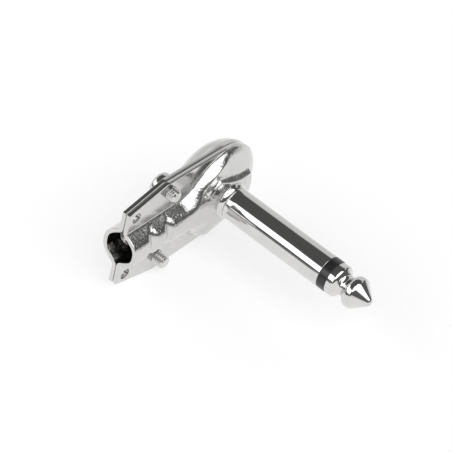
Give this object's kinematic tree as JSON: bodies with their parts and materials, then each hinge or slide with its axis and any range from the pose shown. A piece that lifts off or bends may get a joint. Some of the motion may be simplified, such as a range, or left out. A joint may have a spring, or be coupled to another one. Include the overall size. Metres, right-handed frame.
{
  "type": "right-angle jack plug",
  "caption": "Right-angle 6.35 mm mono jack plug: two pressed metal shell halves with a cable channel, screwed together over the solder lugs, and a sleeve, insulating ring and tip.",
  "frame": {"origin": "middle of the rear cover's flat back face, on the plug's axis", "axes": "+X is the way the plug enters its socket, -Y is the cable end, +Z is across the shell's width"},
  "size_m": [0.0415, 0.0345, 0.0208],
  "materials": {
    "shell_nickel": "bright nickel plate",
    "plug_nickel": "bright turned nickel plate",
    "screw_nickel": "nickel plate",
    "tinned_metal": "tinned, satin",
    "black_plastic": "smooth, half gloss",
    "liner_plastic": "milky film"
  },
  "bodies": {
    "plug": {"front_shell": "shell_nickel", "plug_sleeve": "plug_nickel", "tip_contact": "plug_nickel", "insulating_ring": "black_plastic", "rod_insulator": "liner_plastic", "rear_bush": "black_plastic", "lock_washer": "tinned_metal", "ground_lug": "tinned_metal", "tip_terminal": "tinned_metal"},
    "cover": {"rear_cover": "shell_nickel", "insulating_liner": "liner_plastic"},
    "upper_screw": {"upper_screw": "screw_nickel"},
    "lower_screw": {"lower_screw": "screw_nickel"}
  },
  "joints": [
    {"name": "cover_lift", "type": "slide", "parent": "plug", "child": "cover", "axis": [-1, 0, 0], "range_m": [0, 0.00405]},
    {"name": "upper_screw_turn", "type": "hinge", "parent": "cover", "child": "upper_screw", "pos_m": [0.0043, -0.0143, 0.0078], "axis": [-1, 0, 0], "range_deg": [0, 3240]},
    {"name": "lower_screw_turn", "type": "hinge", "parent": "cover", "child": "lower_screw", "pos_m": [0.0043, -0.0143, -0.0078], "axis": [-1, 0, 0], "range_deg": [0, 3240]}
  ],
  "couplings": [
    {"joint": "upper_screw_turn", "follows": "cover_lift", "rad_per_m": 13963},
    {"joint": "lower_screw_turn", "follows": "cover_lift", "rad_per_m": 13963}
  ]
}
